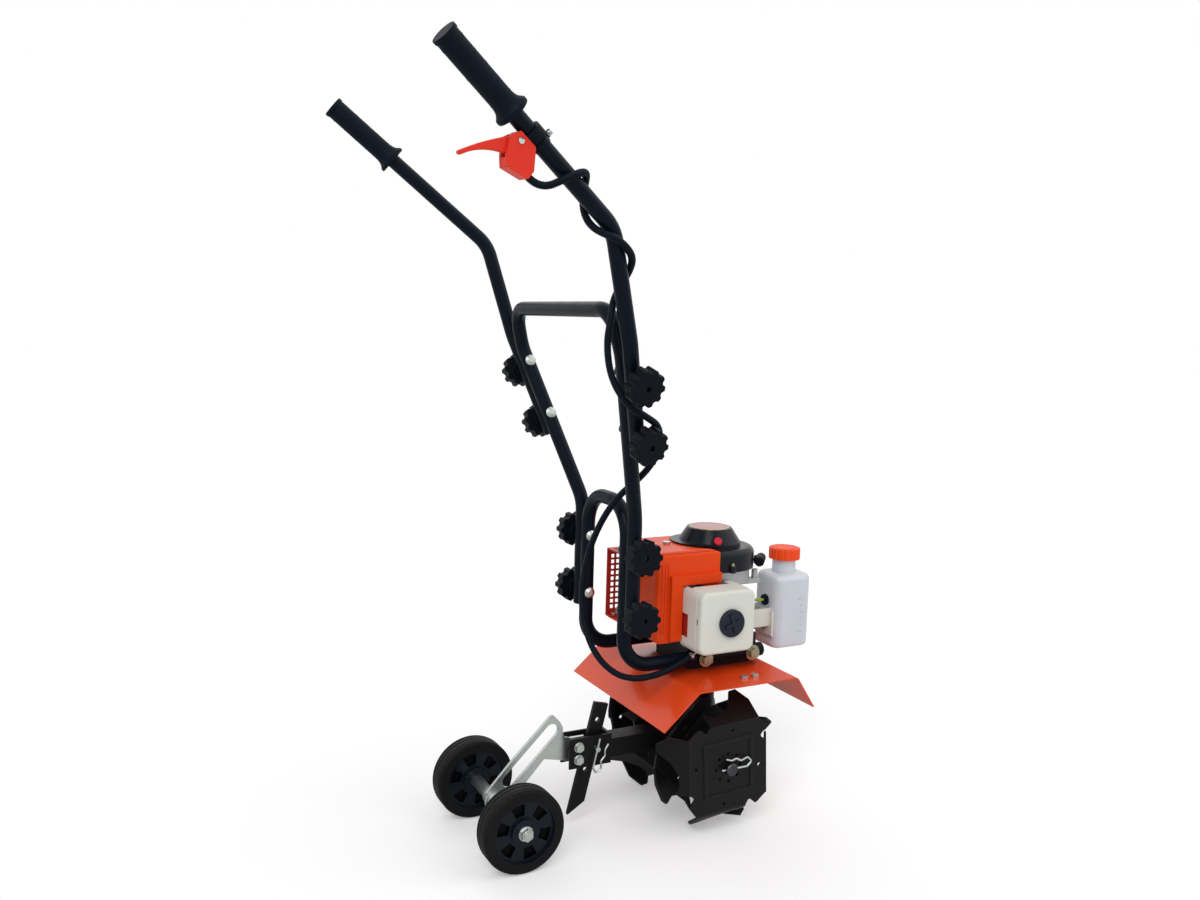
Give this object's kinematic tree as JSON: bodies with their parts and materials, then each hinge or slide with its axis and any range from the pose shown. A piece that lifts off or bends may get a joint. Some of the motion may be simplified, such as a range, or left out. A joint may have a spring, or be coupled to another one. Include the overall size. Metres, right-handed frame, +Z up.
{
  "type": "mini tiller",
  "caption": "Walk-behind mini tiller: small upright engine over a worm gearbox and tine discs, folding tube handles with star knobs, throttle lever, drag bar and transport wheels.",
  "frame": {"origin": "on the ground under the middle of the whole machine", "axes": "+X forward, away from the operator, +Y to the machine's left, +Z up; the tine axle runs along Y"},
  "size_m": [0.7422, 0.5444, 1.1134],
  "materials": {
    "frame_tube": "semi-gloss",
    "orange_plastic": "gloss",
    "orange_sheet": "gloss",
    "black_plastic": "matte",
    "black_rubber": "matte",
    "black_steel": "satin",
    "zinc": "plated",
    "yellow_zinc": "plated",
    "cast_alloy": "as cast",
    "machined_steel": "ground",
    "bronze": "machined",
    "white_plastic": "satin",
    "tank_plastic": "translucent",
    "guard_red": "satin",
    "lever_red": "gloss",
    "fuel_hose": "translucent",
    "foam": "porous",
    "rope": "braided"
  },
  "bodies": {
    "chassis": {"gearbox_left": "black_steel", "gearbox_right": "black_steel", "bearings": "machined_steel", "fender": "orange_sheet", "clutch_housing": "black_steel", "base_bolts": "yellow_zinc", "small_fasteners": "zinc", "lower_loop": "frame_tube", "middle_frame": "frame_tube", "handle_right": "frame_tube", "handle_left": "frame_tube", "grip_right": "black_rubber", "grip_left": "black_rubber", "clamp_bolts": "zinc", "rear_arm": "black_steel", "wheel_bracket": "zinc", "wheel_axle": "zinc", "drag_bar": "black_steel", "crankcase": "cast_alloy", "cylinder": "cast_alloy", "spark_plug": "zinc", "shroud": "orange_plastic", "starter_housing": "black_plastic", "muffler": "black_steel", "muffler_guard": "guard_red", "carburettor": "cast_alloy", "filter_base": "white_plastic", "filter_element": "foam", "filter_cover": "white_plastic", "fuel_tank": "tank_plastic", "fuel_line": "fuel_hose", "tank_bracket": "white_plastic", "throttle_housing": "lever_red", "throttle_conduit": "black_plastic"},
    "tine_rotor": {"tine_axle": "machined_steel", "worm_wheel": "bronze", "tine_right_outer": "black_steel", "tine_right_inner": "black_steel", "tine_left_inner": "black_steel", "tine_left_outer": "black_steel", "axle_clips": "zinc"},
    "worm": {"worm_shaft": "machined_steel"},
    "crank": {"crankshaft": "machined_steel"},
    "starter_pull": {"starter_grip": "black_plastic", "starter_rope": "rope"},
    "pulley": {"starter_pulley": "black_plastic"},
    "lever": {"throttle_lever": "lever_red"},
    "button": {"stop_button": "lever_red"},
    "filter_screw": {"filter_knob": "black_plastic"},
    "cap": {"fuel_cap": "orange_plastic"},
    "right_wheel": {"wheel_right": "black_rubber"},
    "left_wheel": {"wheel_left": "black_rubber"},
    "clamp_knob_lower_right_low": {"knob_lower_right_low": "black_plastic"},
    "clamp_knob_lower_right_high": {"knob_lower_right_high": "black_plastic"},
    "clamp_knob_upper_right_low": {"knob_upper_right_low": "black_plastic"},
    "clamp_knob_upper_right_high": {"knob_upper_right_high": "black_plastic"},
    "clamp_knob_lower_left_low": {"knob_lower_left_low": "black_plastic"},
    "clamp_knob_lower_left_high": {"knob_lower_left_high": "black_plastic"},
    "clamp_knob_upper_left_low": {"knob_upper_left_low": "black_plastic"},
    "clamp_knob_upper_left_high": {"knob_upper_left_high": "black_plastic"}
  },
  "joints": [
    {"name": "tine_spin", "type": "hinge", "parent": "chassis", "child": "tine_rotor", "pos_m": [0.161, 0, 0.10614], "axis": [0, 1, 0], "continuous": true},
    {"name": "worm_spin", "type": "hinge", "parent": "chassis", "child": "worm", "pos_m": [0.189, 0, 0.2], "axis": [0, 0, 1], "continuous": true},
    {"name": "crank_spin", "type": "hinge", "parent": "chassis", "child": "crank", "pos_m": [0.189, 0, 0.32], "axis": [0, 0, 1], "continuous": true},
    {"name": "starter_pull", "type": "slide", "parent": "chassis", "child": "starter_pull", "axis": [0.766, -0.6428, 0], "range_m": [0, 0.5], "stiffness_N_per_m": 20, "springref_m": -0.3},
    {"name": "pulley_spin", "type": "hinge", "parent": "chassis", "child": "pulley", "pos_m": [0.189, 0, 0.406], "axis": [0, 0, 1], "range_deg": [-930, 10]},
    {"name": "throttle_squeeze", "type": "hinge", "parent": "chassis", "child": "lever", "pos_m": [-0.26198, -0.24054, 0.99388], "axis": [-0.1558, 0.9878, 0], "range_deg": [0, 28], "stiffness_Nm_per_rad": 0.4, "springref_deg": -34.38},
    {"name": "stop_press", "type": "slide", "parent": "chassis", "child": "button", "axis": [0.2507, 0.82, -0.5145], "range_m": [0, 0.004], "stiffness_N_per_m": 400, "springref_m": -0.003},
    {"name": "filter_knob_turn", "type": "hinge", "parent": "chassis", "child": "filter_screw", "pos_m": [0.156, -0.124, 0.336], "axis": [0, -1, 0], "continuous": true},
    {"name": "fuel_cap_turn", "type": "hinge", "parent": "chassis", "child": "cap", "pos_m": [0.335, -0.01, 0.41], "axis": [0, 0, 1], "continuous": true},
    {"name": "wheel_right_roll", "type": "hinge", "parent": "chassis", "child": "right_wheel", "pos_m": [-0.176, -0.097, 0.0625], "axis": [0, 1, 0], "continuous": true},
    {"name": "wheel_left_roll", "type": "hinge", "parent": "chassis", "child": "left_wheel", "pos_m": [-0.176, 0.097, 0.0625], "axis": [0, 1, 0], "continuous": true},
    {"name": "knob_lower_right_low_turn", "type": "hinge", "parent": "chassis", "child": "clamp_knob_lower_right_low", "pos_m": [0.001, -0.108, 0.3555], "axis": [0, -1, 0], "continuous": true},
    {"name": "knob_lower_right_high_turn", "type": "hinge", "parent": "chassis", "child": "clamp_knob_lower_right_high", "pos_m": [0.001, -0.108, 0.4483], "axis": [0, -1, 0], "continuous": true},
    {"name": "knob_upper_right_low_turn", "type": "hinge", "parent": "chassis", "child": "clamp_knob_upper_right_low", "pos_m": [-0.03676, -0.17462, 0.62286], "axis": [0.0928, -0.9496, -0.2993], "continuous": true},
    {"name": "knob_upper_right_high_turn", "type": "hinge", "parent": "chassis", "child": "clamp_knob_upper_right_high", "pos_m": [-0.06221, -0.20298, 0.70495], "axis": [0.0928, -0.9496, -0.2993], "continuous": true},
    {"name": "knob_lower_left_low_turn", "type": "hinge", "parent": "chassis", "child": "clamp_knob_lower_left_low", "pos_m": [0.001, 0.108, 0.3555], "axis": [0, 1, 0], "continuous": true},
    {"name": "knob_lower_left_high_turn", "type": "hinge", "parent": "chassis", "child": "clamp_knob_lower_left_high", "pos_m": [0.001, 0.108, 0.4483], "axis": [0, 1, 0], "continuous": true},
    {"name": "knob_upper_left_low_turn", "type": "hinge", "parent": "chassis", "child": "clamp_knob_upper_left_low", "pos_m": [-0.03676, 0.17462, 0.62286], "axis": [0.0928, 0.9496, -0.2993], "continuous": true},
    {"name": "knob_upper_left_high_turn", "type": "hinge", "parent": "chassis", "child": "clamp_knob_upper_left_high", "pos_m": [-0.06221, 0.20298, 0.70495], "axis": [0.0928, 0.9496, -0.2993], "continuous": true}
  ],
  "couplings": [
    {"joint": "worm_spin", "follows": "tine_spin", "ratio": 34},
    {"joint": "pulley_spin", "follows": "starter_pull", "rad_per_m": -32.258}
  ]
}
